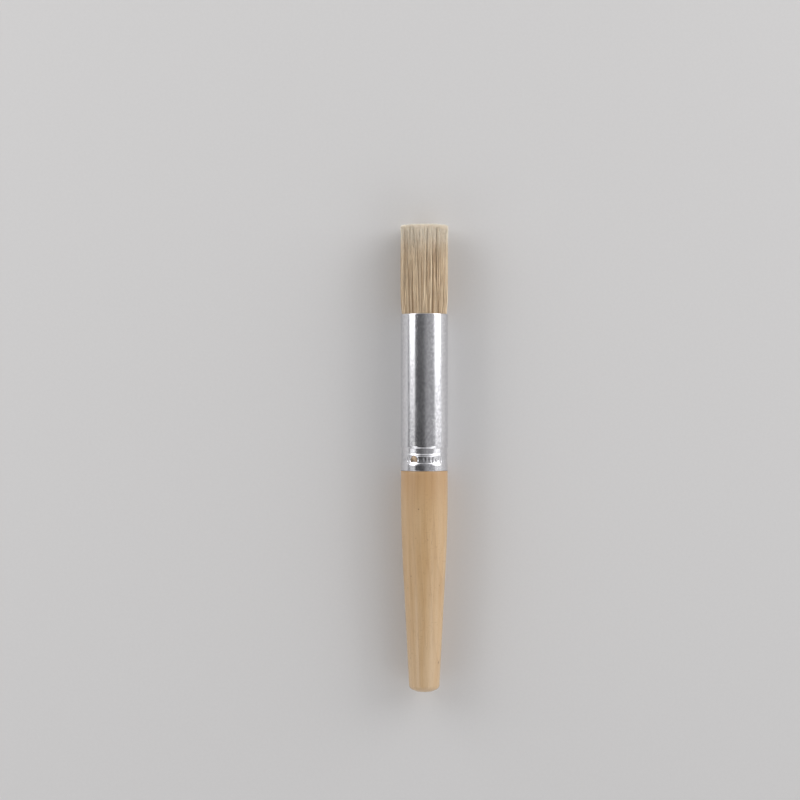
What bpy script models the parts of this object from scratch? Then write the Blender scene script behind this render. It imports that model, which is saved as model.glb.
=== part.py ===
"""Round stencil brush: a turned wooden handle, a crimped metal ferrule, a bristle tuft and its resin plug.

The brush lies on its side on the surface z = 0, with its axis along world Y and its bristles towards +Y.
Every piece is drawn in the brush's own frame: local z runs along the axis towards the bristles and is 0 at
the ferrule's lower edge, where the bare handle begins. World origin: under the middle of the brush.
"""

import math

import bmesh
import bpy
from mathutils import Matrix, Vector

MM = 0.001

# Driving dimensions, in metres
FERRULE_DIAMETER = 19.05 * MM
FERRULE_LENGTH = 63.0 * MM
FERRULE_WALL = 0.4 * MM
BRISTLE_SHOWN = 36.0 * MM
HANDLE_SHOWN = 89.0 * MM
GAP = 0.3 * MM

# Crimp at the ferrule's lower end, as heights above its lower edge
LIP_TOP = 2.8 * MM
BAND_BOTTOM = 3.3 * MM
BAND_TOP = 6.1 * MM
GROOVE_BOTTOM = 6.7 * MM
GROOVE_TOP = 9.1 * MM
RIDGE_DEPTH = 0.1 * MM
BAND_DEPTH = 0.25 * MM
FLUTE_DEPTH = 0.2 * MM
GROOVE_DEPTH = 0.4 * MM
FLUTE_COUNT = 40

# Opening pierced in the band, and the short tongue bent in from its straight edge, which locks the wood
OPENING_TURN = math.radians(-28)
OPENING_WIDTH = 3.0 * MM
OPENING_BOTTOM = 3.3 * MM
OPENING_LENGTH = 2.9 * MM
TONGUE_LENGTH = 1.1 * MM
TONGUE_BEND = math.radians(60)
NOTCH_DEPTH = 1.95 * MM
NOTCH_LENGTH = 1.6 * MM

# Handle
HANDLE_TOP_RADIUS = 9.5 * MM
TAPER_START = 8.0 * MM
TAPER_STRAIGHT = 38.0 * MM
TAPER_SLOPE = 0.052
BUTT_ROUNDING = 2.2 * MM
BUTT_FLAT_RADIUS = 3.0 * MM
BUTT_DOME = 0.5 * MM
TENON_LENGTH = 25.0 * MM
TENON_CHAMFER = 1.0 * MM

# Tuft and resin
ROOT_DEPTH = 16.0 * MM
ROOT_RADIUS = 7.9 * MM
TUFT_RADIUS = 9.45 * MM
TUFT_SWELL = 7.0 * MM
TIP_ROUNDING = 0.4 * MM
RESIN_FLOOR = 3.0 * MM
RESIN_RIM = 10.0 * MM
TUFT_NECK = 1.2 * MM

# Flat sides of every turned piece: one flat for each flute, wide enough for the brush to lie still on
SIDES = FLUTE_COUNT
ACROSS_FLATS = math.cos(math.pi / SIDES)

# Worked out from the sizes above. The ferrule's diameter is measured across its flats
FERRULE_RADIUS = FERRULE_DIAMETER / 2 / ACROSS_FLATS
BORE_RADIUS = FERRULE_RADIUS - FERRULE_WALL
LENGTH = HANDLE_SHOWN + FERRULE_LENGTH + BRISTLE_SHOWN
AXIS_HEIGHT = FERRULE_DIAMETER / 2
ROOT_END = FERRULE_LENGTH - ROOT_DEPTH
ROOT_RIM = ROOT_END + RESIN_RIM

# Details of the mesh
MERGE = 0.01 * MM
SHARP_ANGLE = math.radians(35)
STRAIGHT_SHARE = 0.35
CUTTER_INSET = 1.2 * MM
CUTTER_DEPTH = 1.6 * MM
TONGUE_INSET = 0.32 * MM
TONGUE_OVERLAP = 0.4 * MM
BUTT_ARC_END = -82


def clear_scene():
    for old in list(bpy.data.objects):
        bpy.data.objects.remove(old, do_unlink=True)


def new_collection(name):
    collection = bpy.data.collections.new(name)
    bpy.context.scene.collection.children.link(collection)
    return collection


def new_material(name, colour, roughness, metallic=0.0):
    material = bpy.data.materials.new(name)
    material.use_nodes = True
    shader = material.node_tree.nodes["Principled BSDF"]
    shader.inputs["Base Color"].default_value = (*colour, 1.0)
    shader.inputs["Roughness"].default_value = roughness
    shader.inputs["Metallic"].default_value = metallic
    return material


def arc(centre, radius, start, end, steps):
    """Points (radius, z) of an arc about centre, from the start angle to the end angle in degrees."""
    points = []
    for i in range(steps + 1):
        angle = math.radians(start + (end - start) * i / steps)
        points.append((centre[0] + radius * math.cos(angle), centre[1] + radius * math.sin(angle)))
    return points


def spin(name, outline, sides, collection, parent):
    """Object turned about local z from an outline of (radius, z) points that runs top to bottom."""
    mesh = bpy.data.meshes.new(name)
    points = [(radius, 0.0, z) for radius, z in outline]
    mesh.from_pydata(points, [(i, i + 1) for i in range(len(points) - 1)], [])
    piece = bpy.data.objects.new(name, mesh)
    collection.objects.link(piece)
    piece.parent = parent
    piece.rotation_euler.z = math.pi / SIDES  # a flat side faces down
    screw = piece.modifiers.new("turn", "SCREW")
    screw.axis = "Z"
    screw.angle = 2 * math.pi
    screw.steps = sides
    screw.render_steps = sides
    screw.use_merge_vertices = True
    screw.merge_threshold = MERGE
    screw.use_smooth_shade = True
    return piece


def set_mesh(piece):
    """Replaces an object's modifiers by the mesh that they make."""
    graph = bpy.context.evaluated_depsgraph_get()
    mesh = bpy.data.meshes.new_from_object(piece.evaluated_get(graph))
    piece.modifiers.clear()
    piece.data = mesh
    return mesh


def finish(piece, material):
    piece.data.materials.clear()
    piece.data.materials.append(material)
    piece.data.shade_smooth()
    piece.data.set_sharp_from_angle(angle=SHARP_ANGLE)


def combine(piece, other, operation):
    """Boolean of a piece with another object, kept as a modifier."""
    boolean = piece.modifiers.new(f"{operation.lower()} {other.name}", "BOOLEAN")
    boolean.operation = operation
    boolean.solver = "EXACT"
    boolean.object = other


def hide_guide(guide):
    guide.hide_render = True
    guide.display_type = "WIRE"


def crimp_outline():
    """The ferrule's outer outline from its upper edge to its lower edge."""
    groove_middle = (GROOVE_BOTTOM + GROOVE_TOP) / 2
    half = (GROOVE_TOP - GROOVE_BOTTOM) / 2
    outline = [(FERRULE_RADIUS - RIDGE_DEPTH, FERRULE_LENGTH)]
    outline.append((FERRULE_RADIUS, FERRULE_LENGTH - RIDGE_DEPTH))
    outline.append((FERRULE_RADIUS, GROOVE_TOP + RIDGE_DEPTH))
    for i in range(5):
        turn = math.pi * i / 4
        outline.append((FERRULE_RADIUS - RIDGE_DEPTH - (GROOVE_DEPTH - RIDGE_DEPTH) * math.sin(turn),
                        groove_middle + half * math.cos(turn)))
    band_middle = (BAND_BOTTOM + BAND_TOP) / 2
    for z in (BAND_TOP, band_middle, BAND_BOTTOM):
        outline.append((FERRULE_RADIUS - BAND_DEPTH, z))
    outline.append((FERRULE_RADIUS - RIDGE_DEPTH, (LIP_TOP + BAND_BOTTOM) / 2))
    outline.append((FERRULE_RADIUS, LIP_TOP - RIDGE_DEPTH))
    outline.append((FERRULE_RADIUS, RIDGE_DEPTH))
    outline.append((FERRULE_RADIUS - RIDGE_DEPTH, 0.0))
    return outline


def shape_sides(mesh):
    """Moves every other edge of the turned tube to the middle of a flat, and in the band sinks it into a flute."""
    middle = (BAND_BOTTOM + BAND_TOP) / 2
    step = math.pi / SIDES
    for vertex in mesh.vertices:
        radius = math.hypot(vertex.co.x, vertex.co.y)
        if round(math.atan2(vertex.co.y, vertex.co.x) / step) % 2:
            flute = FLUTE_DEPTH if abs(vertex.co.z - middle) < GAP else 0.0
            shrink = (radius * ACROSS_FLATS - flute) / radius
            vertex.co.x *= shrink
            vertex.co.y *= shrink


def opening_frame(radius, height):
    """Local placement on the ferrule's wall at the opening: x along the wall, y outwards, z along the axis."""
    outwards = Vector((math.sin(OPENING_TURN), -math.cos(OPENING_TURN), 0.0))
    along = outwards.cross(Vector((0.0, 0.0, 1.0)))
    turned = Matrix((along, outwards, (0.0, 0.0, 1.0))).transposed().to_4x4()
    return Matrix.Translation(outwards * radius + Vector((0.0, 0.0, height))) @ turned


def half_round(name, width, length, depth, collection, parent):
    """Plate standing on y: straight at z = 0, round at z = length, depth thick along y."""
    mesh = bpy.data.meshes.new(name)
    shape = bmesh.new()
    outline = [shape.verts.new((-width / 2, 0.0, 0.0)), shape.verts.new((width / 2, 0.0, 0.0))]
    for x, z in arc((0.0, 0.0), 1.0, 0, 180, 10):
        height = length * (STRAIGHT_SHARE + (1 - STRAIGHT_SHARE) * z)
        outline.append(shape.verts.new((x * width / 2, 0.0, height)))
    face = shape.faces.new(outline)
    made = bmesh.ops.extrude_face_region(shape, geom=[face])
    moved = [item for item in made["geom"] if isinstance(item, bmesh.types.BMVert)]
    bmesh.ops.translate(shape, verts=moved, vec=(0.0, depth, 0.0))
    bmesh.ops.recalc_face_normals(shape, faces=shape.faces)
    shape.to_mesh(mesh)
    shape.free()
    piece = bpy.data.objects.new(name, mesh)
    collection.objects.link(piece)
    piece.parent = parent
    hide_guide(piece)
    return piece


def make_ferrule(collection, cutters, parent, material):
    ferrule = spin("ferrule", crimp_outline(), 2 * SIDES, collection, parent)
    shape_sides(set_mesh(ferrule))
    wall = ferrule.modifiers.new("wall", "SOLIDIFY")
    wall.thickness = FERRULE_WALL
    wall.offset = -1.0

    opening = half_round("opening", OPENING_WIDTH, OPENING_LENGTH, CUTTER_DEPTH, cutters, parent)
    opening.matrix_local = opening_frame(FERRULE_RADIUS - CUTTER_INSET, OPENING_BOTTOM)
    combine(ferrule, opening, "DIFFERENCE")

    tongue = half_round("tongue", OPENING_WIDTH - 2 * GAP, TONGUE_LENGTH, FERRULE_WALL, cutters, parent)
    root = opening_frame(FERRULE_RADIUS - BAND_DEPTH - TONGUE_INSET, OPENING_BOTTOM - TONGUE_OVERLAP)
    tongue.matrix_local = root @ Matrix.Rotation(TONGUE_BEND, 4, "X")
    combine(ferrule, tongue, "UNION")
    finish(ferrule, material)
    return ferrule


def handle_radius(distance):
    """Radius of the bare handle at a distance below the ferrule: a cylinder that bends into a straight taper."""
    if distance <= TAPER_START:
        return HANDLE_TOP_RADIUS
    bend = TAPER_STRAIGHT - TAPER_START
    into = min(distance - TAPER_START, bend)
    radius = HANDLE_TOP_RADIUS - TAPER_SLOPE * into * into / (2 * bend)
    return radius - TAPER_SLOPE * max(distance - TAPER_STRAIGHT, 0.0)


def handle_outline():
    """From the tenon's upper end, down the tenon that follows the crimp's inside, to the butt."""
    inset = FERRULE_WALL + GAP
    tenon_radius = FERRULE_RADIUS - inset
    outline = [(0.0, TENON_LENGTH), (tenon_radius - TENON_CHAMFER, TENON_LENGTH)]
    outline.append((tenon_radius, TENON_LENGTH - TENON_CHAMFER))
    outline.append((tenon_radius, GROOVE_TOP + GAP))
    outline.append((tenon_radius - GROOVE_DEPTH, GROOVE_TOP - GAP))
    outline.append((tenon_radius - GROOVE_DEPTH, GROOVE_BOTTOM))
    outline.append((tenon_radius - BAND_DEPTH - FLUTE_DEPTH, BAND_TOP))
    outline.append((tenon_radius - BAND_DEPTH - FLUTE_DEPTH, BAND_BOTTOM))
    outline.append((tenon_radius - RIDGE_DEPTH, LIP_TOP - GAP))
    outline.append((tenon_radius - RIDGE_DEPTH, -GAP))
    for distance in (GAP, TAPER_START):
        outline.append((handle_radius(distance), -distance))
    for i in range(1, 5):
        distance = TAPER_START + (TAPER_STRAIGHT - TAPER_START) * i / 4
        outline.append((handle_radius(distance), -distance))
    round_start = HANDLE_SHOWN - BUTT_DOME - BUTT_ROUNDING
    edge = (handle_radius(round_start) - BUTT_ROUNDING, -round_start)
    outline.extend(arc(edge, BUTT_ROUNDING, 0, BUTT_ARC_END, 5))
    outline.append((BUTT_FLAT_RADIUS, -HANDLE_SHOWN))
    outline.append((0.0, -HANDLE_SHOWN))
    return outline


def make_handle(collection, cutters, parent, material):
    handle = spin("handle", handle_outline(), SIDES, collection, parent)
    notch = half_round("tongue_notch", OPENING_WIDTH, NOTCH_LENGTH, NOTCH_DEPTH, cutters, parent)
    notch.matrix_local = opening_frame(FERRULE_RADIUS - NOTCH_DEPTH, OPENING_BOTTOM - TONGUE_OVERLAP - GAP)
    combine(handle, notch, "DIFFERENCE")
    finish(handle, material)
    return handle


def make_resin(collection, parent, material):
    """Cup of set resin: a floor under the bristle roots and a rim round them."""
    outer = BORE_RADIUS - GAP
    inner = ROOT_RADIUS + GAP
    floor_top = ROOT_END - GAP
    floor_bottom = floor_top - RESIN_FLOOR
    outline = [(0.0, floor_top), (inner, floor_top), (inner, ROOT_RIM), (outer, ROOT_RIM)]
    outline += [(outer, floor_bottom), (0.0, floor_bottom)]
    resin = spin("setting_resin", outline, SIDES, collection, parent)
    finish(resin, material)
    return resin


def make_tuft(collection, parent, material):
    """The bristles as one solid: bound at the root, full outside the ferrule, cut flat at the tip."""
    inside = BORE_RADIUS - GAP
    tip = FERRULE_LENGTH + BRISTLE_SHOWN
    outline = [(0.0, tip), (TUFT_RADIUS - TIP_ROUNDING, tip), (TUFT_RADIUS, tip - TIP_ROUNDING)]
    for i in range(4):
        turn = math.pi * i / 3
        radius = (TUFT_RADIUS + inside) / 2 + (TUFT_RADIUS - inside) / 2 * math.cos(turn)
        outline.append((radius, FERRULE_LENGTH + TUFT_SWELL * (1 - i / 3)))
    outline += [(inside, ROOT_RIM + TUFT_NECK), (ROOT_RADIUS, ROOT_RIM), (ROOT_RADIUS, ROOT_END)]
    outline.append((0.0, ROOT_END))
    tuft = spin("bristle_tuft", outline, SIDES, collection, parent)
    finish(tuft, material)
    return tuft


def main():
    clear_scene()
    brush = new_collection("round_stencil_brush")
    cutters = new_collection("cutters")
    axis = bpy.data.objects.new("brush_axis", None)
    brush.objects.link(axis)
    axis.location = (0.0, HANDLE_SHOWN - LENGTH / 2, AXIS_HEIGHT)
    axis.rotation_euler.x = -math.pi / 2

    wood = new_material("lacquered_wood", (0.52, 0.33, 0.17), 0.38)
    metal = new_material("bright_ferrule_metal", (0.80, 0.80, 0.81), 0.22, 1.0)
    bristle = new_material("natural_bristle", (0.62, 0.50, 0.36), 0.60)
    resin = new_material("set_resin", (0.45, 0.30, 0.12), 0.25)

    make_handle(brush, cutters, axis, wood)
    make_ferrule(brush, cutters, axis, metal)
    make_resin(brush, axis, resin)
    make_tuft(brush, axis, bristle)


main()
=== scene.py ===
"""Looks of the round stencil brush: turned wood, crimped bright metal and several thousand single bristles.

The brush lies along Y with its bristles towards +Y. Along the brush, s is the distance from the ferrule's
lower edge towards the bristles; round it, the angle is 0 at the top (+Z) and grows towards +X.
"""
import math

import bmesh
import bpy
import numpy as np
from mathutils import Matrix, Vector


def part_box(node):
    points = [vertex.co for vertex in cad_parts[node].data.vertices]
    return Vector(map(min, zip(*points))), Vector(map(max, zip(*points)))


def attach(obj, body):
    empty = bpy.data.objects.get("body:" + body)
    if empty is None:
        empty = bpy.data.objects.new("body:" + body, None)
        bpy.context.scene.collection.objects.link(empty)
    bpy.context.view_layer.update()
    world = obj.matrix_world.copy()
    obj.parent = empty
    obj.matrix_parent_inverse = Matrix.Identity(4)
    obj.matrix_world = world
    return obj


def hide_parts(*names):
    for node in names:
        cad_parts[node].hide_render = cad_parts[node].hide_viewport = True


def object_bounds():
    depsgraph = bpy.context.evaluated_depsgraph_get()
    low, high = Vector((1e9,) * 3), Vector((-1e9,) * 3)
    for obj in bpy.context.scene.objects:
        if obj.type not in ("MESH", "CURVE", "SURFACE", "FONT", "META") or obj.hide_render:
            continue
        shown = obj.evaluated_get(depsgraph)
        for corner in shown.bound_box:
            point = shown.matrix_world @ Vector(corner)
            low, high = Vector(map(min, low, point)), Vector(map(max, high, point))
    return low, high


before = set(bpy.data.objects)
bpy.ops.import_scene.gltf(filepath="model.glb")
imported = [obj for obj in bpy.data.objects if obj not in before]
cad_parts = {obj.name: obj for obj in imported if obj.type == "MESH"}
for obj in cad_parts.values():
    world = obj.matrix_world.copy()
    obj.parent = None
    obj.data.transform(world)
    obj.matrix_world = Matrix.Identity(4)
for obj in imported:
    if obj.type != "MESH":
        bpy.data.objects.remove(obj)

MM = 0.001
cad_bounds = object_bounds()

# ---------------------------------------------------------------- places, all from the frame
ferrule_low, ferrule_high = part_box("ferrule")
handle_low, handle_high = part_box("handle")
tuft_low, tuft_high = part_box("bristle_tuft")
RADIUS = (ferrule_high.z - ferrule_low.z) / 2
AXIS_Z = (ferrule_high.z + ferrule_low.z) / 2
BASE_Y = ferrule_low.y
FERRULE_TOP = ferrule_high.y - BASE_Y
BRISTLE_TIP = tuft_high.y - BASE_Y
BRISTLE_ROOT = tuft_low.y - BASE_Y
TENON_TOP = handle_high.y - BASE_Y
BUTT = handle_low.y - BASE_Y
HANDLE_RADIUS = (handle_high.x - handle_low.x) / 2
FLOOR_Z = cad_bounds[0].z

# ---------------------------------------------------------------- ferrule sizes
# Pairs are at the lower and the upper end, unless a comment says otherwise
WALL = 0.4 * MM
FERRULE_EDGE = 0.12 * MM             # rounding of the tube's edges
BAND = (2.75 * MM, 6.25 * MM)
BAND_DEPTHS = (0.18 * MM, 0.22 * MM)
GROOVE = (6.35 * MM, 9.5 * MM)
GROOVE_DEPTHS = (0.20 * MM, 0.31 * MM)
CRIMP_WALL = 0.55 * MM               # how far along the ferrule a groove's side slopes
RIDGE_DEPTH = 0.06 * MM
RIDGE_SLOPE = 0.5 * MM
FLUTES = 40
FLUTE_DEPTH = 0.11 * MM
FLUTE_UNEVENNESS = 0.22              # spread of their depths, as a share
FLUTE_SHIFT = 0.06 * MM              # spread of their heights
FLUTE_HALF = 1.3 * MM                # half of a dimple's height
DENTS = 16
DENT_PLACES = (12 * MM, 62 * MM)     # least and most, as in the next three lines
DENT_WIDTHS = (2.0 * MM, 5.5 * MM)
DENT_HEIGHTS = (3.5 * MM, 9.0 * MM)
DENT_DEPTHS = (0.003 * MM, 0.012 * MM)

OPENING_ANGLE = math.radians(-28)
OPENING_WIDTH = 3.0 * MM
OPENING_BOTTOM = 3.3 * MM
OPENING_LENGTH = 2.9 * MM
OPENING_STRAIGHT = 0.35              # share of its length below the round part
OPENING_DIP = 0.04 * MM              # how far the punch sank the wall round it
CUTTER_INSIDE = 1.3 * MM
CUTTER_OUTSIDE = 0.8 * MM
TONGUE_WIDTH = 2.4 * MM
TONGUE_THICKNESS = 0.85 * WALL
TONGUE_ROOT = 0.45 * MM              # below the opening's lower edge
TONGUE_BEND = 0.15 * MM              # below the opening's lower edge
TONGUE_BEND_RADIUS = 0.5 * MM
TONGUE_TURNS = (15, 30, 45, 58)      # degrees
TONGUE_STEP = (0.21 * MM, 0.13 * MM)  # inwards and up, three times beyond the bend
TONGUE_TIP = (0.97, 0.88, 0.70, 0.40)  # its last four widths, as shares

# ---------------------------------------------------------------- handle sizes
TAPER_START = 8.0 * MM               # below the ferrule
TAPER_STRAIGHT = 38.0 * MM           # below the ferrule
TAPER_SLOPE = 0.052
BUTT_ROUNDING = 2.2 * MM
BUTT_DOME = 0.5 * MM
BUTT_FLAT = 3.0 * MM
TENON_GAP = 0.3 * MM
TENON_CHAMFER = 1.0 * MM
TENON_LIP_DEPTH = 0.15 * MM
TENON_LIP_TOP = 2.6 * MM
SHOULDER_GAP = 0.12 * MM
SHOULDER_ROUNDING = 0.2 * MM
TURNING = 0.012 * MM                 # unevenness of the turned wood
SWELL = 0.75 * MM                    # wood that swells into the opening
SWELL_MIDDLE = 5.45 * MM
SWELL_HALF = (1.9 * MM, 1.5 * MM)    # across and along
NOTCH = 0.3 * MM                     # where the tongue sits
NOTCH_MIDDLE = 3.9 * MM
NOTCH_HALF = 1.0 * MM
NOTCH_SIDE = (1.3 * MM, 1.6 * MM)

# ---------------------------------------------------------------- bristle sizes
SEED = 20
HAIR_COUNT = 4500
HAIR_RADIUS = 0.105 * MM
HAIR_THICKNESSES = (0.78, 1.15)      # least and most, as a share of the radius
HAIR_TIP = 0.55                      # a tip's thickness, as a share of the hair's
HAIR_SIDES = 4
STATIONS = 12                        # points along a hair
CORE_STATIONS = [0, 2, 5, 8, 10, 11]
OUTER_SHARE = 0.66                   # hairs are numbered from the middle out; later ones keep all stations
LOCKS = (3.4 * MM, 0.33 * MM)        # how wide a lock is and how far it leans
LATE_LOCKS = (2.2 * MM, 0.22 * MM)   # the same, for locks that part only outside the ferrule
OWN_LEAN = 0.42 * MM
OWN_BOW = 0.22 * MM
TUFT_SWELL = 0.062                   # share that the tuft widens outside the ferrule
TUFT_BULGE = 0.12 * MM               # how far hairs may pass the ferrule's radius
ROOT_SHARE = 0.885                   # width of the bound roots, as a share
SOFT_EDGE = 0.35 * MM                # over which hairs are held back from a circle
TIP_GAP = 0.15 * MM                  # room at the tip for the split ends
SHORTNESS = 0.40 * MM
SHORTER_SHARE = 0.14                 # share of the hairs that are clearly shorter
SHORTER_BY = (0.5 * MM, 3.5 * MM)
TUFT_DOME = 0.55 * MM                # how much shorter the outermost hairs are
LOCK_SHADE = 0.17
SPLIT_ENDS = 3                       # for each hair
SPLIT_STATIONS = 4
SPLIT_SIDES = 3
SPLIT_PLACES = (0.05, 0.80)          # share of the hair's last stretch where an end starts
SPLIT_SPREAD = 0.20 * MM
SPLIT_REACH = (-0.8 * MM, 0.7 * MM)
SPLIT_BOW = 0.06 * MM
SPLIT_RADIUS = 0.052 * MM
SPLIT_BULGE = 0.22 * MM

# ---------------------------------------------------------------- colours
WOOD = ((0.535, 0.318, 0.136), (0.680, 0.465, 0.248))
WOOD_LATE = (0.445, 0.254, 0.111)    # the darker part of a growth ring
WOOD_STREAK = (0.685, 0.498, 0.303)
WOOD_FIBRE = (0.405, 0.233, 0.107)
WOOD_PORE = (0.294, 0.160, 0.071)
WOOD_FLECK = (0.418, 0.240, 0.111)
# Painted shade: the wood is tinted darker towards the ferrule.
WOOD_PAINTED_SHADE_BY_FERRULE = (0.480, 0.255, 0.100)
# Unlacquered wood inside the ferrule, kept pale; this is also painted light that lifts the shaded opening.
RAW_WOOD_WITH_PAINTED_LIGHT = (0.800, 0.600, 0.400)
# Painted light: the wood is tinted paler towards the butt.
WOOD_PAINTED_LIGHT_BY_BUTT = (0.730, 0.570, 0.401)
WOOD_SPECK = (0.178, 0.093, 0.040)
METAL = ((0.66, 0.655, 0.69), (0.80, 0.795, 0.82))
METAL_MOTTLE = (0.95, 0.945, 0.96)
METAL_SCUFF = (0.62, 0.62, 0.64)
# The tip colours and the pale split ends are partly the flagged ends' own paler colour and partly painted
# light for light passing through the thin tips.
BRISTLE = ((0.99, 0.82, 0.585), (0.44, 0.275, 0.145), (1.0, 0.88, 0.71))        # light, dark, tip
BRISTLE_ENDS = ((1.0, 0.89, 0.73), (0.96, 0.80, 0.60), (1.0, 0.93, 0.80))       # light, dark, tip
RESIN = ((0.30, 0.165, 0.045), (0.46, 0.290, 0.105), (0.56, 0.40, 0.19))
RESIN_BUBBLE = (0.70, 0.56, 0.34)
FLOOR = ((0.69, 0.68, 0.675), (0.72, 0.71, 0.705))
SURROUNDINGS = (0.98, 0.98, 1.0)

# Places in the wood: the pith line that its growth rings lie round, and where the painted shade and painted
# light along the handle start
PITH_ASIDE = 21 * MM
PITH_BELOW = 15 * MM
PITH_BEND = 5 * MM
RING_WIDTH = 1.9 * MM
PAINTED_SHADE_WITHIN = 22 * MM              # below the ferrule; painted shade grows from here up to the ferrule
PAINTED_LIGHT_FROM = 30 * MM                 # below the ferrule; painted light grows from here to the butt

# ---------------------------------------------------------------- studio sizes
FLOOR_HALF = 0.95
# Side boxes: name, side, lowest and highest elevation in degrees, start and end along Y, radiance
SIDE_BOXES = (
    ("left_box", -1, 12, 43, 0.070, 1.25, 2.1),
    ("left_fill", -1, 13, 43, -1.00, 0.070, 0.46),
    ("right_box", 1, 5, 39, 0.070, 1.25, 2.5),
    ("right_fill", 1, 5, 37, -1.00, 0.070, 0.36),
)
SIDE_REACH = 1.0                     # from the brush's axis to a side box
CORNER = (0.75, 0.62, 0.72)          # place of the corner box towards +X and +Y
CORNER_SIZE = (0.8, 0.6)
CORNER_RADIANCE = 1.15
# Glow of the surroundings by direction: two values of x, y or z, then the brightness at each
TIPS_SIDE = (-0.02, 0.045, 0.0, 1.0)                 # y: 0 over the handle's side, 1 over the tips' side
GLOW_HANDLE_SIDE = (-0.14, 0.32, 0.058, 0.34)        # x
GLOW_TIPS_SIDE = (-0.45, 0.45, 0.125, 0.36)          # x
GLOW_BEYOND_TIPS = (0.60, 0.90, 0.0, 0.75)           # y
GLOW_BEYOND_BUTT = (-0.90, -0.60, 0.60, 0.0)         # y
GLOW_HORIZON = (0.03, 0.19, 0.42, 0.0)               # z

# Camera, in lengths of the brush, and its place in shares of the field
FIELD = 1.7165
DISTANCE = 4.8
CAMERA_ASIDE = -0.0304
CAMERA_FORWARD = 0.0725
SENSOR = 36.0


# ---------------------------------------------------------------- mesh helpers
def smooth(low, high, value):
    """0 below low, 1 above high, smooth between."""
    t = np.clip((value - low) / (high - low), 0.0, 1.0)
    return t * t * (3 - 2 * t)


def hump(value, middle, half):
    """1 at the middle, falling to 0 at half away."""
    t = np.clip(np.abs(value - middle) / half, 0.0, 1.0)
    return np.cos(t * math.pi / 2) ** 2


def turn_from(angle, start):
    """Angle from start, between minus and plus half a turn."""
    return (angle - start + math.pi) % (2 * math.pi) - math.pi


def add_piece(name, points, faces, material, sharp=35.0):
    """Mesh object shaded smooth, except over edges sharper than this many degrees if sharp is given."""
    mesh = bpy.data.meshes.new(name)
    mesh.from_pydata(points, [], faces)
    mesh.update()
    piece = bpy.data.objects.new(name, mesh)
    bpy.context.scene.collection.objects.link(piece)
    mesh.materials.append(material)
    mesh.shade_smooth()
    if sharp:
        mesh.set_sharp_from_angle(angle=math.radians(sharp))
    return piece


def lathe_points(radius, s, angle):
    """World points for arrays of radius, distance along the brush and angle round it."""
    radius, s, angle = np.broadcast_arrays(radius, s, angle)
    return np.stack([radius * np.sin(angle), BASE_Y + s, AXIS_Z + radius * np.cos(angle)], axis=-1)


def turned(outline, around, displace, loop):
    """Points and faces of a turned shape. outline is (radius, s) pairs, top to bottom on its outer side.
    displace(angle, s) adds to the radius. A loop closes on itself; otherwise both ends are on the axis."""
    outline = np.array(outline)
    angle = np.arange(around) * 2 * math.pi / around
    body = outline if loop else outline[1:-1]
    radius = body[:, 0:1] + displace(angle[None, :], body[:, 1:2])
    rows = lathe_points(radius, body[:, 1:2], angle[None, :])
    count = len(body)
    points = [tuple(p) for p in rows.reshape(-1, 3)]
    index = np.arange(count * around).reshape(count, around)
    lower = np.roll(index, -1, axis=0) if loop else index[1:]
    upper = index if loop else index[:-1]
    beside = np.roll(upper, -1, axis=1)
    beneath = np.roll(lower, -1, axis=1)
    faces = np.stack([upper, lower, beneath, beside], axis=-1).reshape(-1, 4).tolist()
    if not loop:
        for end, row, step in ((outline[0], index[0], 1), (outline[-1], index[-1], -1)):
            points.append((0.0, BASE_Y + end[1], AXIS_Z))
            ring = row[::step]
            for i in range(around):
                faces.append([len(points) - 1, int(ring[i]), int(ring[(i + 1) % around])])
    return points, faces


def arc(centre, radius, start, end, steps):
    """(radius, s) points on an arc, angles in degrees."""
    turn = np.radians(np.linspace(start, end, steps + 1))
    return [(centre[0] + radius * math.cos(t), centre[1] + radius * math.sin(t)) for t in turn]


def apply_modifiers(piece):
    """Makes the piece's mesh what its modifiers show."""
    graph = bpy.context.evaluated_depsgraph_get()
    mesh = bpy.data.meshes.new_from_object(piece.evaluated_get(graph))
    piece.modifiers.clear()
    piece.data = mesh


def face_outwards(piece):
    """Turns every face of a closed mesh outwards."""
    shape = bmesh.new()
    shape.from_mesh(piece.data)
    bmesh.ops.recalc_face_normals(shape, faces=shape.faces)
    shape.to_mesh(piece.data)
    shape.free()


# ---------------------------------------------------------------- node helpers
class Nodes:
    """Short ways to add nodes to a tree. An input is a number or another node's output."""

    def __init__(self, tree):
        self.tree = tree

    def node(self, kind, **settings):
        made = self.tree.nodes.new(kind)
        for key, value in settings.items():
            setattr(made, key, value)
        return made

    def feed(self, socket, value):
        if isinstance(value, bpy.types.NodeSocket):
            self.tree.links.new(value, socket)
        else:
            socket.default_value = value

    def math(self, operation, a, b=0.0):
        made = self.node("ShaderNodeMath", operation=operation)
        for socket, value in zip(made.inputs, (a, b)):
            self.feed(socket, value)
        return made.outputs[0]

    def distance(self, a, b):
        squares = self.math("ADD", self.math("MULTIPLY", a, a), self.math("MULTIPLY", b, b))
        return self.math("SQRT", squares)

    def split(self, vector):
        made = self.node("ShaderNodeSeparateXYZ")
        self.feed(made.inputs[0], vector)
        return made.outputs

    def join(self, x, y, z):
        made = self.node("ShaderNodeCombineXYZ")
        for socket, value in zip(made.inputs, (x, y, z)):
            self.feed(socket, value)
        return made.outputs[0]

    def range(self, value, low, high, to_low, to_high):
        made = self.node("ShaderNodeMapRange", interpolation_type="SMOOTHSTEP")
        for socket, item in zip(made.inputs, (value, low, high, to_low, to_high)):
            self.feed(socket, item)
        return made.outputs[0]


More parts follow.
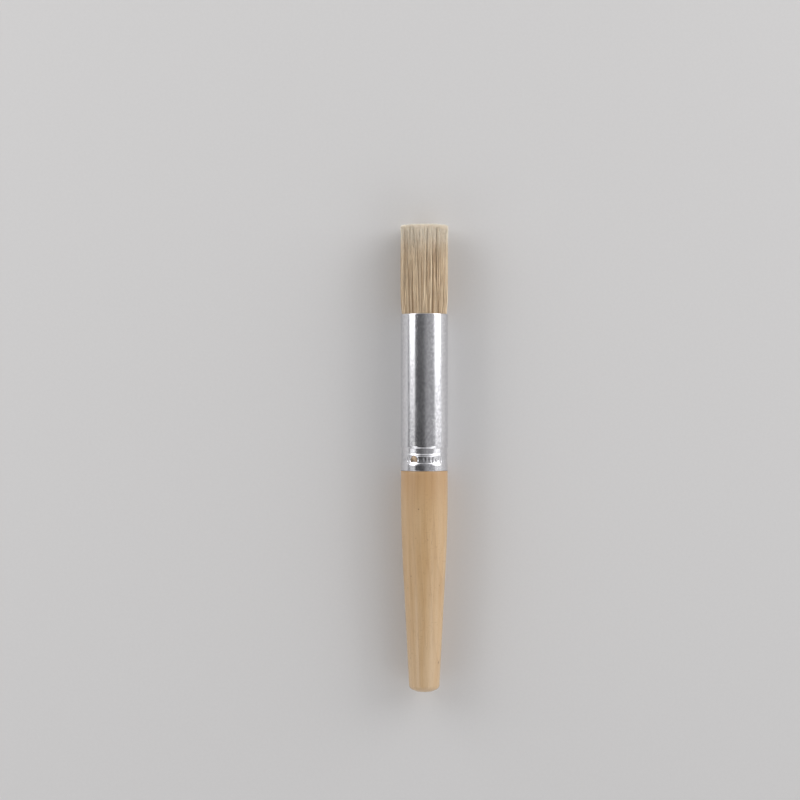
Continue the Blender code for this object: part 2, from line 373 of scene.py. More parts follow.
class Recipe(Nodes):
    """A Principled material and the nodes of its pattern."""

    def __init__(self, name):
        self.material = bpy.data.materials.new(name)
        self.material.use_nodes = True
        super().__init__(self.material.node_tree)
        self.shader = self.tree.nodes["Principled BSDF"]
        self.place = self.node("ShaderNodeTexCoord").outputs["Object"]

    def set(self, **values):
        """Shader inputs by name, with _ for a space."""
        for name, value in values.items():
            self.feed(self.shader.inputs[name.replace("_", " ")], value)

    def noise(self, vector, scale, detail=3.0, rough=0.5, distortion=0.0):
        made = self.node("ShaderNodeTexNoise")
        self.feed(made.inputs["Vector"], vector)
        made.inputs["Scale"].default_value = scale
        made.inputs["Detail"].default_value = detail
        made.inputs["Roughness"].default_value = rough
        made.inputs["Distortion"].default_value = distortion
        return made.outputs["Fac"]

    def ramp(self, value, stops):
        made = self.node("ShaderNodeValToRGB")
        self.feed(made.inputs[0], value)
        colours = made.color_ramp
        while len(colours.elements) < len(stops):
            colours.elements.new(0.5)
        for element, (at, colour) in zip(colours.elements, stops):
            element.position = at
            element.color = (*colour, 1.0)
        return made.outputs[0]

    def mix(self, share, a, b):
        made = self.node("ShaderNodeMix", data_type="RGBA")
        self.feed(made.inputs[0], share)
        for socket, value in ((made.inputs[6], a), (made.inputs[7], b)):
            self.feed(socket, (*value, 1.0) if isinstance(value, tuple) else value)
        return made.outputs[2]

    def layers(self, colour, tints):
        """Colour with each (share, tint) laid over it in turn."""
        for share, tint in tints:
            colour = self.mix(share, colour, tint)
        return colour

    def bump(self, height, strength, distance, under=None):
        made = self.node("ShaderNodeBump")
        self.feed(made.inputs["Height"], height)
        made.inputs["Strength"].default_value = strength
        made.inputs["Distance"].default_value = distance
        if under is not None:
            self.feed(made.inputs["Normal"], under)
        return made.outputs[0]

    def drawn_out(self, share):
        """Place with its distance along the brush shrunk to a share, which draws a pattern out along it."""
        x, y, z = self.split(self.place)
        return self.join(x, self.math("MULTIPLY", y, share), z)

    def round_the_brush(self):
        """Distances round the brush at its surface, along it, and from its axis, in metres."""
        x, y, z = self.split(self.place)
        z = self.math("SUBTRACT", z, AXIS_Z)
        turn = self.math("ARCTAN2", x, z)
        return self.math("MULTIPLY", turn, RADIUS), y, self.distance(x, z)


# ---------------------------------------------------------------- materials
def late_wood(r):
    """Rises to 1 over each growth ring. The rings lie round a bent pith line beside the handle."""
    x, _, z = r.split(r.place)
    bend = r.noise(r.drawn_out(0.12), 60.0, 2.0)
    bend = r.math("MULTIPLY", r.math("SUBTRACT", bend, 0.5), PITH_BEND)
    dx = r.math("ADD", r.math("ADD", x, PITH_ASIDE), bend)
    dz = r.math("ADD", r.math("SUBTRACT", z, AXIS_Z), PITH_BELOW)
    ring = r.math("FRACT", r.math("MULTIPLY", r.distance(dx, dz), 1 / RING_WIDTH))
    return r.math("POWER", ring, 3.0)


def ray_flecks(r):
    """Short marks across the grain, in patches."""
    round_way, along, out = r.round_the_brush()
    fleck = r.noise(r.join(round_way, r.math("MULTIPLY", along, 3.2), out), 620.0, 2.0, 0.5)
    patch = r.noise(r.place, 90.0, 1.0)
    return r.math("MULTIPLY", r.range(fleck, 0.60, 0.70, 0.0, 0.28), r.range(patch, 0.42, 0.60, 0.0, 1.0))


def wood_material():
    """Pale, fine-grained hardwood: growth rings, short pores, a few flecks and a thin satin lacquer, with
    painted shade towards the ferrule, painted light towards the butt, and pale raw wood inside the ferrule
    that is partly painted light.
    """
    r = Recipe("lacquered_wood")
    round_way, along, _ = r.round_the_brush()
    fibre = r.noise(r.drawn_out(0.02), 2600.0, 3.0, 0.6)
    streak = r.noise(r.drawn_out(0.05), 420.0, 4.0, 0.55)
    pore = r.noise(r.drawn_out(0.09), 5200.0, 1.0)
    speck = r.noise(r.drawn_out(0.45), 1150.0, 0.0)
    colour = r.mix(r.noise(r.place, 38.0, 3.0, 0.5), *WOOD)
    colour = r.layers(colour, [
        (r.math("MULTIPLY", late_wood(r), 0.34), WOOD_LATE),
        (r.range(streak, 0.35, 0.72, 0.0, 0.45), WOOD_STREAK),
        (r.range(fibre, 0.45, 0.75, 0.0, 0.30), WOOD_FIBRE),
        (r.range(pore, 0.66, 0.74, 0.0, 0.36), WOOD_PORE),
        (ray_flecks(r), WOOD_FLECK),
        # painted shade, darker towards the ferrule
        (r.range(along, BASE_Y - PAINTED_SHADE_WITHIN, BASE_Y, 0.0, 0.42), WOOD_PAINTED_SHADE_BY_FERRULE),
        # raw wood inside the ferrule, partly painted light for the shaded opening
        (r.range(along, BASE_Y, BASE_Y + 1 * MM, 0.0, 0.75), RAW_WOOD_WITH_PAINTED_LIGHT),
        # painted light, paler towards the butt
        (r.range(along, BASE_Y + BUTT, BASE_Y - PAINTED_LIGHT_FROM, 0.16, 0.0), WOOD_PAINTED_LIGHT_BY_BUTT),
        (r.range(speck, 0.835, 0.90, 0.0, 0.8), WOOD_SPECK),
    ])
    r.set(Base_Color=colour, Specular_IOR_Level=0.5, Coat_Weight=0.8, Coat_Roughness=0.13, Coat_IOR=1.52)
    r.set(Roughness=r.range(streak, 0.3, 0.7, 0.40, 0.52))
    turning = r.noise(r.join(r.math("MULTIPLY", round_way, 0.03), along, 0.0), 2200.0, 2.0)
    relief = r.bump(fibre, 0.25, 0.02 * MM)
    relief = r.bump(turning, 0.18, 0.02 * MM, relief)
    relief = r.bump(r.noise(r.place, 130.0, 2.0), 0.25, 0.12 * MM, relief)
    r.set(Normal=relief, Coat_Normal=r.bump(r.noise(r.place, 260.0, 2.0), 0.12, 0.03 * MM))
    return r.material


def metal_material():
    """Bright drawn tube: fine rings round it, soft mottling, a few scuffs and dull smudges."""
    r = Recipe("ferrule_metal")
    round_way, along, out = r.round_the_brush()
    rings = r.noise(r.join(r.math("MULTIPLY", round_way, 0.05), along, 0.0), 3400.0, 3.0, 0.6)
    drawn = r.noise(r.join(round_way, r.math("MULTIPLY", along, 0.06), 0.0), 900.0, 3.0, 0.5)
    mottle = r.noise(r.join(round_way, r.math("MULTIPLY", along, 0.6), out), 1250.0, 3.0, 0.55, 0.3)
    grain = r.noise(r.join(round_way, along, out), 5200.0, 2.0, 0.6)
    smudge = r.noise(r.place, 75.0, 4.0, 0.6, 0.6)
    slanted = r.math("ADD", round_way, r.math("MULTIPLY", along, 0.6))
    scuff = r.noise(r.join(slanted, r.math("MULTIPLY", along, 0.08), out), 2600.0, 2.0, 0.5)
    colour = r.layers(r.mix(smudge, *METAL), [
        (r.range(mottle, 0.32, 0.68, 0.0, 0.70), METAL_MOTTLE),
        (r.range(scuff, 0.70, 0.78, 0.0, 0.35), METAL_SCUFF),
    ])
    dull = r.range(smudge, 0.35, 0.75, 0.150, 0.195)
    dull = r.math("ADD", dull, r.range(mottle, 0.30, 0.72, 0.0, 0.035))
    dull = r.math("ADD", dull, r.range(rings, 0.4, 0.8, 0.0, 0.025))
    relief = r.bump(rings, 0.10, 0.012 * MM)
    relief = r.bump(drawn, 0.09, 0.012 * MM, relief)
    relief = r.bump(grain, 0.10, 0.008 * MM, relief)
    relief = r.bump(mottle, 0.05, 0.016 * MM, relief)
    r.set(Base_Color=colour, Metallic=1.0, Roughness=dull, Normal=relief)
    return r.material


def bristle_material(name, light, dark, tip):
    """Natural bristle: each hair has its own shade, a little banding along it, and a paler tip, partly the
    flagged ends' own colour and partly painted light for light passing through the thin tips.
    """
    r = Recipe(name)
    strand = r.node("ShaderNodeAttribute", attribute_name="strand")
    own, length, lustre = r.split(strand.outputs["Vector"])
    band = r.noise(r.place, 240.0, 2.0)
    colour = r.layers(r.mix(own, dark, light), [
        (r.range(band, 0.35, 0.7, 0.0, 0.18), dark),
        # paler tip: the flagged ends' own colour, with painted light for light passing through them
        (r.range(length, 0.72, 0.98, 0.0, 0.80), tip),
    ])
    r.set(Base_Color=colour, Specular_IOR_Level=0.5, Sheen_Weight=0.25, Sheen_Roughness=0.4)
    r.set(Roughness=r.range(lustre, 0.0, 1.0, 0.32, 0.55))
    r.set(Normal=r.bump(r.noise(r.place, 9000.0, 1.0), 0.05, 0.003 * MM))
    return r.material


def resin_material():
    """Amber set resin, clouded and slightly uneven."""
    r = Recipe("set_resin")
    cloud = r.noise(r.place, 420.0, 4.0, 0.6, 0.8)
    bubble = r.noise(r.place, 1900.0, 1.0)
    colour = r.ramp(cloud, list(zip((0.30, 0.62, 0.85), RESIN)))
    colour = r.mix(r.range(bubble, 0.66, 0.72, 0.0, 0.5), colour, RESIN_BUBBLE)
    r.set(Base_Color=colour, Coat_Weight=0.3, Coat_Roughness=0.08)
    r.set(Roughness=r.range(cloud, 0.3, 0.8, 0.12, 0.32), Normal=r.bump(bubble, 0.4, 0.08 * MM))
    return r.material


def floor_material():
    """Pale matt floor with a faint grain."""
    r = Recipe("studio_floor")
    r.set(Base_Color=r.mix(r.noise(r.place, 900.0, 3.0), *FLOOR), Roughness=0.8)
    return r.material


# ---------------------------------------------------------------- ferrule
def crimp_depth(s):
    """How far the wall is pressed in at s: two rolled grooves, deepest at their upper ends, and ridges."""
    depth = 0
    for (low, high), (lower, upper) in ((GROOVE, GROOVE_DEPTHS), (BAND, BAND_DEPTHS)):
        floor = lower + (upper - lower) * np.clip((s - low) / (high - low), 0, 1)
        depth = depth + floor * smooth(low, low + CRIMP_WALL, s) * (1 - smooth(high - CRIMP_WALL, high, s))
    ridges = smooth(BAND[0] - RIDGE_SLOPE, BAND[0], s) * (1 - smooth(GROOVE[1], GROOVE[1] + RIDGE_SLOPE, s))
    return depth + RIDGE_DEPTH * ridges


def opening_distance(angle, s):
    """Distance from the pierced opening's middle, in units of its half size."""
    across = turn_from(angle, OPENING_ANGLE) * RADIUS / (OPENING_WIDTH / 2)
    up = (s - OPENING_BOTTOM - OPENING_LENGTH / 2) / (OPENING_LENGTH / 2)
    return np.sqrt(across ** 2 + up ** 2)


def ferrule_press(angle, s):
    """Radius change of the ferrule's wall: crimp, dimples, the dip round the opening and slight dents."""
    rng = np.random.default_rng(SEED)
    strength = 1 + FLUTE_UNEVENNESS * rng.standard_normal(FLUTES)
    flute = np.floor((angle * FLUTES / (2 * math.pi) + 0.5) % FLUTES).astype(int)
    middle = (BAND[0] + BAND[1]) / 2 + FLUTE_SHIFT * rng.standard_normal(FLUTES)[flute]
    dimple = (0.5 + 0.5 * np.cos(angle * FLUTES)) * hump(s, middle, FLUTE_HALF) ** 0.6
    dip = np.exp(-np.clip(opening_distance(angle, s) - 0.9, 0, None) ** 2 / 0.12)
    change = -crimp_depth(s) - FLUTE_DEPTH * strength[flute] * dimple - OPENING_DIP * dip
    for _ in range(DENTS):
        turn = turn_from(angle, rng.uniform(0, 2 * math.pi))
        up = s - rng.uniform(*DENT_PLACES)
        wide = rng.uniform(*DENT_WIDTHS)
        tall = rng.uniform(*DENT_HEIGHTS)
        deep = rng.uniform(*DENT_DEPTHS)
        change = change - deep * np.exp(-(turn * RADIUS / wide) ** 2 - (up / tall) ** 2)
    return change


def opening_cutter(name, material):
    """Cutter for the opening: straight below, round above, standing out through the wall."""
    outline = [(-0.5, 0.0), (0.5, 0.0)]
    for t in np.linspace(0, math.pi, 25):
        outline.append((0.5 * math.cos(t), OPENING_STRAIGHT + (1 - OPENING_STRAIGHT) * math.sin(t)))
    count = len(outline)
    points = []
    for radius in (RADIUS - CUTTER_INSIDE, RADIUS + CUTTER_OUTSIDE):
        for across, up in outline:
            angle = OPENING_ANGLE + across * OPENING_WIDTH / RADIUS
            points.append(tuple(lathe_points(radius, OPENING_BOTTOM + up * OPENING_LENGTH, angle)))
    faces = [list(range(count)), list(range(2 * count - 1, count - 1, -1))]
    faces += [[i, i + count, (i + 1) % count + count, (i + 1) % count] for i in range(count)]
    return add_piece(name, points, faces, material, None)


def tongue_spine():
    """(radius, s) points of the tongue's middle line: from inside the wall, round the bend, to its tip."""
    middle = RADIUS - BAND_DEPTHS[0] - 0.1 * MM - WALL / 2
    bend = OPENING_BOTTOM - TONGUE_BEND
    spine = [(middle + 0.02 * MM, OPENING_BOTTOM - TONGUE_ROOT), (middle, bend)]
    for t in np.radians(TONGUE_TURNS):
        spine.append((middle - TONGUE_BEND_RADIUS + TONGUE_BEND_RADIUS * math.cos(t),
                      bend + TONGUE_BEND_RADIUS * math.sin(t)))
    last = spine[-1]
    spine += [(last[0] - TONGUE_STEP[0] * k, last[1] + TONGUE_STEP[1] * k) for k in (1, 2, 3)]
    return np.array(spine)


def plate_faces(rows, columns):
    """Faces of a closed plate: a grid on top, the same grid below it, and the rim between them."""
    top = np.arange(rows * columns).reshape(rows, columns)
    bottom = top + rows * columns
    faces = []
    for i in range(rows - 1):
        for j in range(columns - 1):
            faces.append([top[i, j], top[i + 1, j], top[i + 1, j + 1], top[i, j + 1]])
            faces.append([bottom[i, j], bottom[i, j + 1], bottom[i + 1, j + 1], bottom[i + 1, j]])
    rim = [(i, 0) for i in range(rows)] + [(rows - 1, j) for j in range(1, columns)]
    rim += [(i, columns - 1) for i in range(rows - 2, -1, -1)] + [(0, j) for j in range(columns - 2, 0, -1)]
    for a, b in zip(rim, rim[1:] + rim[:1]):
        faces.append([top[a], bottom[a], bottom[b], top[b]])
    return [[int(i) for i in face] for face in faces]


def tongue_plate(name, material):
    """The short tongue that the punch bent in from the opening's straight edge, with a rounded tip."""
    spine = tongue_spine()
    along = np.gradient(spine, axis=0)
    along /= np.linalg.norm(along, axis=1)[:, None]
    normal = np.stack([along[:, 1], -along[:, 0]], axis=1)
    widths = np.full(len(spine), TONGUE_WIDTH / 2)
    widths[-len(TONGUE_TIP):] *= TONGUE_TIP
    across = np.linspace(-1, 1, 9)
    angle = OPENING_ANGLE + across[None, :] * widths[:, None] / RADIUS
    points = []
    for side in (0.5, -0.5):
        surface = spine + normal * side * TONGUE_THICKNESS
        layer = lathe_points(surface[:, 0:1], surface[:, 1:2], angle)
        points += [tuple(p) for p in layer.reshape(-1, 3)]
    return add_piece(name, points, plate_faces(len(spine), len(across)), material, None)


def ferrule_outline():
    """(radius, s) points down the outer side and up the inner side, closest together in the crimp."""
    edge = FERRULE_EDGE
    bore = RADIUS - WALL
    crimp_top = GROOVE[1] + 1.0 * MM
    outer = arc((RADIUS - edge, FERRULE_TOP - edge), edge, 90, 0, 4)
    outer += [(RADIUS, s) for s in np.arange(FERRULE_TOP - 0.5 * MM, crimp_top, -1.0 * MM)]
    outer += [(RADIUS, s) for s in np.arange(crimp_top, edge + 0.05 * MM, -0.1 * MM)]
    outer += arc((RADIUS - edge, edge), edge, 0, -90, 4)
    inner = arc((bore + edge, edge), edge, -90, -180, 2)
    inner += [(bore, s) for s in np.arange(0.4 * MM, crimp_top, 0.3 * MM)]
    inner += [(bore, s) for s in np.arange(crimp_top + 1 * MM, FERRULE_TOP - 1 * MM, 3.0 * MM)]
    inner += arc((bore + edge, FERRULE_TOP - edge), edge, 180, 90, 2)
    return outer + inner


def make_ferrule(material):
    """Crimped tube with its opening cut out and the bent tongue joined on."""
    points, faces = turned(ferrule_outline(), 10 * FLUTES, ferrule_press, True)
    ferrule = add_piece("ferrule_shell", points, faces, material)
    face_outwards(ferrule)
    for maker, operation in ((opening_cutter, "DIFFERENCE"), (tongue_plate, "UNION")):
        tool = maker("tool", material)
        face_outwards(tool)
        boolean = ferrule.modifiers.new("boolean", "BOOLEAN")
        boolean.operation = operation
        boolean.object = tool
        apply_modifiers(ferrule)
        bpy.data.objects.remove(tool)
    ferrule.data.materials.clear()
    ferrule.data.materials.append(material)
    ferrule.data.shade_smooth()
    ferrule.data.set_sharp_from_angle(angle=math.radians(40))
    return ferrule


# ---------------------------------------------------------------- handle
def handle_radius(distance):
    """Radius at a distance below the ferrule: a cylinder that bends into a straight taper."""
    into = np.clip(distance - TAPER_START, 0, TAPER_STRAIGHT - TAPER_START)
    radius = HANDLE_RADIUS - TAPER_SLOPE * into ** 2 / (2 * (TAPER_STRAIGHT - TAPER_START))
    return radius - TAPER_SLOPE * np.clip(distance - TAPER_STRAIGHT, 0, None)


def handle_press(angle, s):
    """Slight unevenness of the turned wood, its swelling into the opening, and the tongue's notch."""
    change = TURNING * np.sin(3 * angle + s / (9 * MM)) * np.sin(s / (5.5 * MM))
    change = np.where(s < 0, change, 0.0)
    across = turn_from(angle, OPENING_ANGLE) * RADIUS
    swell = hump(across, 0, SWELL_HALF[0]) * hump(s, SWELL_MIDDLE, SWELL_HALF[1])
    change = change + np.where(s > 0, SWELL * swell, 0)
    notch = (1 - smooth(*NOTCH_SIDE, np.abs(across))) * hump(s, NOTCH_MIDDLE, NOTCH_HALF) ** 0.5
    return change - np.where(s > 0, NOTCH * notch, 0)


def tenon_outline():
    """(radius, s) points down the tenon, which follows the inside of the crimp, to the shoulder."""
    tenon = RADIUS - WALL - TENON_GAP
    grooved = tenon - GROOVE_DEPTHS[1]
    crimped = tenon - BAND_DEPTHS[1] - FLUTE_DEPTH
    lip = tenon - TENON_LIP_DEPTH
    outline = [(0.0, TENON_TOP), (tenon - TENON_CHAMFER, TENON_TOP), (tenon, TENON_TOP - TENON_CHAMFER)]
    outline += [(tenon, s) for s in np.arange(TENON_TOP - 2 * MM, GROOVE[1] + 0.4 * MM, -2.0 * MM)]
    outline += [(tenon, GROOVE[1] + 0.3 * MM), (grooved, GROOVE[1] - 0.3 * MM)]
    outline += [(grooved, GROOVE[0] + 0.1 * MM)]
    outline += [(crimped, s) for s in np.arange(BAND[1], BAND[0] - 0.3 * MM, -0.12 * MM)]
    return outline + [(lip, TENON_LIP_TOP), (lip, -SHOULDER_GAP)]


def butt_outline(round_start):
    """(radius, s) points of the butt: its rounded edge, a shallow dome and a flat in the middle."""
    edge = (handle_radius(round_start) - BUTT_ROUNDING, -round_start)
    outline = arc(edge, BUTT_ROUNDING, 0, -80, 12)
    start_radius, start_s = outline[-1]
    for t in (0.3, 0.55, 0.8, 1.0):
        outline.append((start_radius + (BUTT_FLAT - start_radius) * t,
                        start_s + (BUTT - start_s) * math.sin(t * math.pi / 2)))
    return outline + [(BUTT_FLAT / 2, BUTT), (0.0, BUTT)]


def make_handle(material):
    """Turned handle with its tenon."""
    shoulder = handle_radius(0.0)
    rounding = SHOULDER_ROUNDING
    round_start = -BUTT - BUTT_DOME - BUTT_ROUNDING
    outline = tenon_outline() + [(shoulder - 0.25 * MM, -SHOULDER_GAP)]
    outline += arc((shoulder - rounding, -SHOULDER_GAP - rounding), rounding, 75, 0, 4)
    outline += [(handle_radius(d), -d) for d in np.arange(1.2 * MM, round_start, 1.0 * MM)]
    outline += butt_outline(round_start)
    outline = [(float(radius), float(s)) for radius, s in outline]
    points, faces = turned(outline, 256, handle_press, False)
    handle = add_piece("turned_handle", points, faces, material)
    face_outwards(handle)
    return handle


# ---------------------------------------------------------------- bristles
def drift_field(rng, wavelength, strength, terms=14):
    """A smooth random sideways shift by where a hair leaves the ferrule, so that hairs lie in locks."""
    waves = rng.normal(0, 2 * math.pi / wavelength, (terms, 2))
    phase = rng.uniform(0, 2 * math.pi, (terms, 2))
    size = strength * math.sqrt(2 / terms)

    def shift(place):
        wave = place @ waves.T
        return size * np.stack([np.cos(wave + phase[:, i]).sum(1) for i in (0, 1)], axis=1)
    return shift


def keep_inside(place, limit):
    """Pulls points softly back inside a circle."""
    out = np.linalg.norm(place, axis=-1, keepdims=True)
    most = limit - SOFT_EDGE
    over = np.clip(out - most, 0, None)
    held = np.minimum(out, most) + SOFT_EDGE * np.tanh(over / SOFT_EDGE)
    return place * held / np.maximum(out, 1e-9)


def hair_paths(rng, mouth, tips):
    """Middle line of each hair, (hairs, stations, 3), and its share of length, (hairs, stations)."""
    count = len(mouth)
    lock = drift_field(rng, *LOCKS)
    lock_late = drift_field(rng, *LATE_LOCKS)
    own = rng.normal(0, OWN_LEAN, (count, 2))
    bow = rng.normal(0, OWN_BOW, (count, 2))
    root = BRISTLE_ROOT + 0.3 * MM
    share = np.linspace(0, 1, STATIONS)[None, :] ** 0.92
    s = root + (tips[:, None] - root) * share
    beyond = s - FERRULE_TOP
    free = np.clip((beyond + 1.5 * MM) / (BRISTLE_TIP - FERRULE_TOP), 0, None)
    arch = np.sin(math.pi * np.clip(free, 0, 1))
    swell = 1 + TUFT_SWELL * smooth(-2 * MM, 9 * MM, beyond)
    bound = ROOT_SHARE + (1 - ROOT_SHARE) * smooth(BRISTLE_ROOT + 8 * MM, BRISTLE_ROOT + 13 * MM, s)
    place = mouth[:, None, :] * (swell * bound)[:, :, None]
    place = place + (lock(mouth) + own)[:, None, :] * (free ** 1.35)[:, :, None]
    place = place + lock_late(mouth)[:, None, :] * (arch * free)[:, :, None]
    place = place + bow[:, None, :] * arch[:, :, None] ** 2
    outside = RADIUS + TUFT_BULGE * smooth(0, 12 * MM, beyond)
    limit = np.where(beyond > 0, outside, RADIUS - WALL) - HAIR_RADIUS * 1.3
    place = keep_inside(place, limit[:, :, None])
    line = np.stack([place[:, :, 0], BASE_Y + s, AXIS_Z + place[:, :, 1]], axis=-1)
    line[:, :, 2] = np.maximum(line[:, :, 2], FLOOR_Z + HAIR_RADIUS * 1.05)
    return line, share * np.ones((count, 1))


def lock_shade(rng, root):
    """Neighbouring hairs share a little of their shade, so that lighter and darker streaks show."""
    turn = np.arctan2(root[:, 0], root[:, 2] - AXIS_Z)
    total = np.zeros(len(root))
    for _ in range(6):
        total += np.cos(turn * rng.integers(16, 60) + rng.uniform(0, 2 * math.pi))
    return LOCK_SHADE * total


def hair_mesh(name, rng, line, share, radius, sides, material):
    """One mesh of closed tapering tubes. Its strand attribute holds each hair's shade, the share of its
    length and its lustre."""
    count, stations, _ = line.shape
    around = np.arange(sides)[None, None, :] * 2 * math.pi / sides
    spin = rng.uniform(0, 2 * math.pi, (count, 1, 1)) + around
    ring = np.zeros((count, stations, sides, 3))
    ring[..., 0] = np.cos(spin) * radius[:, :, None]
    ring[..., 2] = np.sin(spin) * radius[:, :, None]
    points = (line[:, :, None, :] + ring).reshape(-1, 3)
    index = np.arange(count * stations * sides).reshape(count, stations, sides)
    here, above = index[:, :-1], index[:, 1:]
    quads = np.stack([here, above, np.roll(above, -1, 2), np.roll(here, -1, 2)], axis=-1).reshape(-1, 4)
    faces = quads.tolist() + index[:, 0, :].tolist() + index[:, -1, ::-1].tolist()
    piece = add_piece(name, points, faces, material, None)
    strand = np.zeros((count, stations, sides, 3), np.float32)
    shade = rng.beta(2.6, 1.4, count) + lock_shade(rng, line[:, 0])
    strand[..., 0] = np.clip(shade, 0, 1)[:, None, None]
    strand[..., 1] = share[:, :, None]
    strand[..., 2] = rng.uniform(0, 1, (count, 1, 1))
    attribute = piece.data.attributes.new("strand", "FLOAT_VECTOR", "POINT")
    attribute.data.foreach_set("vector", strand.reshape(-1))
    return piece


def split_tips(name, rng, line, material):
    """The fine split ends of the hairs: each tip frays into thinner ends that spread a little."""
    ends, before = line[:, -1], line[:, -3]
    count = SPLIT_ENDS * len(ends)
    split = rng.uniform(*SPLIT_PLACES, (count, 1))
    start = np.repeat(before, SPLIT_ENDS, axis=0) + np.repeat(ends - before, SPLIT_ENDS, axis=0) * split
    stop = np.repeat(ends, SPLIT_ENDS, axis=0)
    spread = rng.normal(0, SPLIT_SPREAD, stop.shape)
    spread[:, 1] = rng.uniform(*SPLIT_REACH, count)
    stop = stop + spread
    stop[:, 1] = np.minimum(stop[:, 1], BASE_Y + BRISTLE_TIP - 0.02 * MM)
    step = np.linspace(0, 1, SPLIT_STATIONS)[None, :]
    bow = rng.normal(0, SPLIT_BOW, (count, 1, 3)) * np.sin(math.pi * step)[:, :, None]
    bow[:, :, 1] = 0
    middle = start[:, None, :] + (stop - start)[:, None, :] * step[:, :, None] + bow
    off = keep_inside(middle[:, :, [0, 2]] - np.array([0.0, AXIS_Z]), RADIUS + SPLIT_BULGE)
    middle[:, :, 0] = off[:, :, 0]
    middle[:, :, 2] = np.maximum(AXIS_Z + off[:, :, 1], FLOOR_Z + 0.06 * MM)
    share = 0.86 + 0.14 * step * np.ones((count, 1))
    radius = SPLIT_RADIUS * (1 - 0.6 * step) * rng.uniform(0.7, 1.1, (count, 1))
    return hair_mesh(name, rng, middle, share, radius, SPLIT_SIDES, material)


def make_bristles(material, end_material):
    """All hairs, in an outer and a core piece, and their split ends, in two more."""
    rng = np.random.default_rng(SEED)
    number = np.arange(HAIR_COUNT)
    spiral = number * (math.pi * (3 - math.sqrt(5)))
    mouth_radius = (RADIUS - WALL - HAIR_RADIUS) * np.sqrt((number + 0.5) / HAIR_COUNT)
    mouth = np.stack([mouth_radius * np.cos(spiral), mouth_radius * np.sin(spiral)], axis=1)
    mouth += rng.normal(0, 0.05 * MM, mouth.shape)
    short = np.abs(rng.normal(0, SHORTNESS, HAIR_COUNT))
    short += np.where(rng.random(HAIR_COUNT) < SHORTER_SHARE, rng.uniform(*SHORTER_BY, HAIR_COUNT), 0)
    domed = TUFT_DOME * (mouth_radius / RADIUS) ** 6
    line, share = hair_paths(rng, mouth, BRISTLE_TIP - TIP_GAP - short - domed)
    thick = HAIR_RADIUS * rng.uniform(*HAIR_THICKNESSES, (HAIR_COUNT, 1))
    radius = thick * (1 - (1 - HAIR_TIP) * smooth(0.55, 1.0, share))
    outer = number >= OUTER_SHARE * HAIR_COUNT
    every = list(range(STATIONS))
    pieces = []
    for name, part, kept in (("bristles_outer", outer, every), ("bristles_core", ~outer, CORE_STATIONS)):
        pieces.append(hair_mesh(name, rng, line[part][:, kept], share[part][:, kept], radius[part][:, kept],
                                HAIR_SIDES, material))
    for name, part in (("split_tips_outer", outer), ("split_tips_core", ~outer)):
        pieces.append(split_tips(name, rng, line[part], end_material))
    return pieces


# ---------------------------------------------------------------- studio
def add_light(name, centre, width, height, radiance):
    """Area light that the camera doesn't see, with the same brightness whatever its size."""
    data = bpy.data.lights.new(name, "AREA")
    data.shape = "RECTANGLE"
    data.size = width
    data.size_y = height
    data.energy = radiance * width * height * math.pi
    light = bpy.data.objects.new(name, data)
    light.visible_camera = False
    light.location = centre
    bpy.context.scene.collection.objects.link(light)
    return light


def side_light(name, side, low, high, start, end, radiance):
    """Upright soft box beside the brush, from the low to the high elevation and from start to end."""
    middle, half = math.radians((low + high) / 2), math.radians((high - low) / 2)
    aside, up = SIDE_REACH * math.cos(middle), SIDE_REACH * math.sin(middle)
    centre = (side * aside, (start + end) / 2, AXIS_Z + up)
    light = add_light(name, centre, end - start, 2 * SIDE_REACH * math.tan(half), radiance)
    facing = Vector((-centre[0], 0.0, AXIS_Z - centre[2])).normalized()
    along = Vector((0.0, 1.0, 0.0))
    light.rotation_euler = Matrix((along, along.cross(facing), -facing)).transposed().to_euler()


def corner_light(side, end):
    """Soft box above a corner of the floor, which faces the world's origin."""
    centre = Vector((side * CORNER[0], end * CORNER[1], CORNER[2]))
    light = add_light(f"corner_box_{side}_{end}", centre, *CORNER_SIZE, CORNER_RADIANCE)
    light.rotation_euler = (-centre).to_track_quat("-Z", "Y").to_euler()


def make_floor():
    """Plain square floor that the brush lies on."""
    corners = [(x * FLOOR_HALF, y * FLOOR_HALF, FLOOR_Z) for x, y in ((-1, -1), (1, -1), (1, 1), (-1, 1))]
    mesh = bpy.data.meshes.new("studio_floor")
    mesh.from_pydata(corners, [], [(0, 1, 2, 3)])
    mesh.materials.append(floor_material())
    floor = bpy.data.objects.new("studio_floor", mesh)
    bpy.context.scene.collection.objects.link(floor)


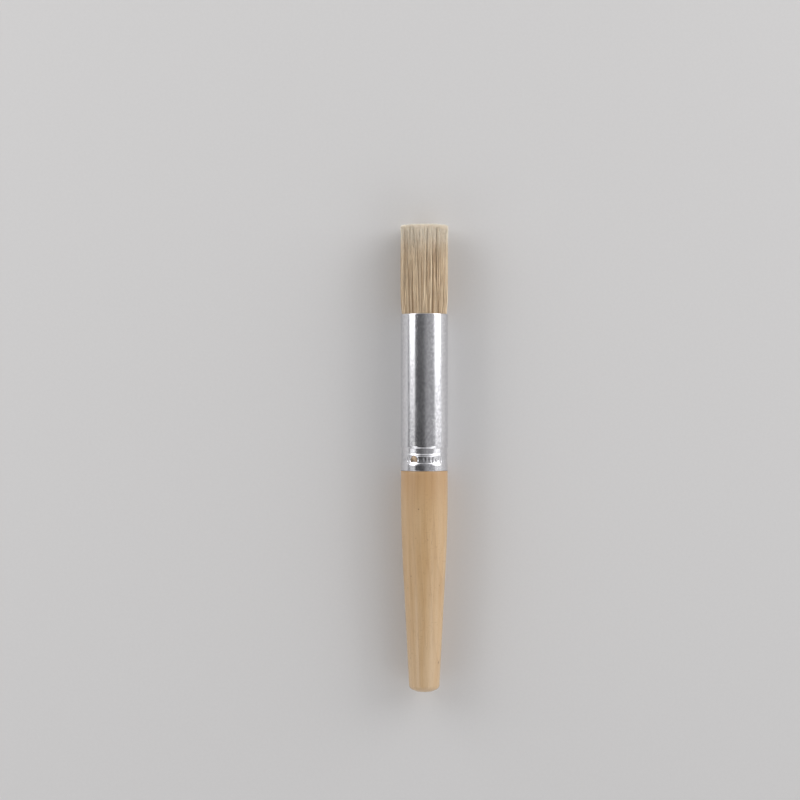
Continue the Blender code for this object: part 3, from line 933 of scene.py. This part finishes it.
def make_world():
    """Dim surroundings: darkest overhead, lighter to the right, towards both ends and at the horizon."""
    world = bpy.data.worlds.new("studio")
    bpy.context.scene.world = world
    world.use_nodes = True
    n = Nodes(world.node_tree)
    across, along, height = n.split(n.node("ShaderNodeTexCoord").outputs["Generated"])
    tips_side = n.range(along, *TIPS_SIDE)
    handle_side = n.math("SUBTRACT", 1.0, tips_side)
    strength = n.math("MULTIPLY", handle_side, n.range(across, *GLOW_HANDLE_SIDE))
    strength = n.math("ADD", strength, n.math("MULTIPLY", tips_side, n.range(across, *GLOW_TIPS_SIDE)))
    for direction, glow in ((along, GLOW_BEYOND_TIPS), (along, GLOW_BEYOND_BUTT), (height, GLOW_HORIZON)):
        strength = n.math("ADD", strength, n.range(direction, *glow))
    background = n.tree.nodes["Background"]
    n.feed(background.inputs["Strength"], strength)
    n.feed(background.inputs["Color"], (*SURROUNDINGS, 1.0))


def make_studio():
    """Floor, lights and surroundings."""
    make_floor()
    for box in SIDE_BOXES:
        side_light(*box)
    for side in (-1, 1):
        for end in (-1, 1):
            corner_light(side, end)
    make_world()


def make_camera():
    """Straight above the brush, which stands a little right of and below the picture's middle."""
    length = cad_bounds[1].y - cad_bounds[0].y
    field = FIELD * length
    distance = DISTANCE * length
    data = bpy.data.cameras.new("camera")
    data.sensor_width = SENSOR
    data.lens = SENSOR * distance / field
    data.clip_start = 0.01
    data.clip_end = 20.0
    camera = bpy.data.objects.new("camera", data)
    camera.location = (CAMERA_ASIDE * field, CAMERA_FORWARD * field, AXIS_Z + distance)
    bpy.context.scene.collection.objects.link(camera)
    bpy.context.scene.camera = camera
    bpy.context.scene.view_settings.view_transform = "Standard"


# ---------------------------------------------------------------- the brush
def main():
    """Makes the handle, the ferrule, the bristles and the studio, and gives the hidden resin its look."""
    wood, metal, resin = wood_material(), metal_material(), resin_material()
    bristle = bristle_material("natural_bristle", *BRISTLE)
    bristle_ends = bristle_material("bristle_tips", *BRISTLE_ENDS)

    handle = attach(make_handle(wood), "root")
    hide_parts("handle")

    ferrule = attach(make_ferrule(metal), "root")
    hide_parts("ferrule")

    for piece in make_bristles(bristle, bristle_ends):
        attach(piece, "root")
        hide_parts("bristle_tuft")

    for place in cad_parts["setting_resin"].material_slots:
        place.material = resin

    make_studio()
    make_camera()


main()
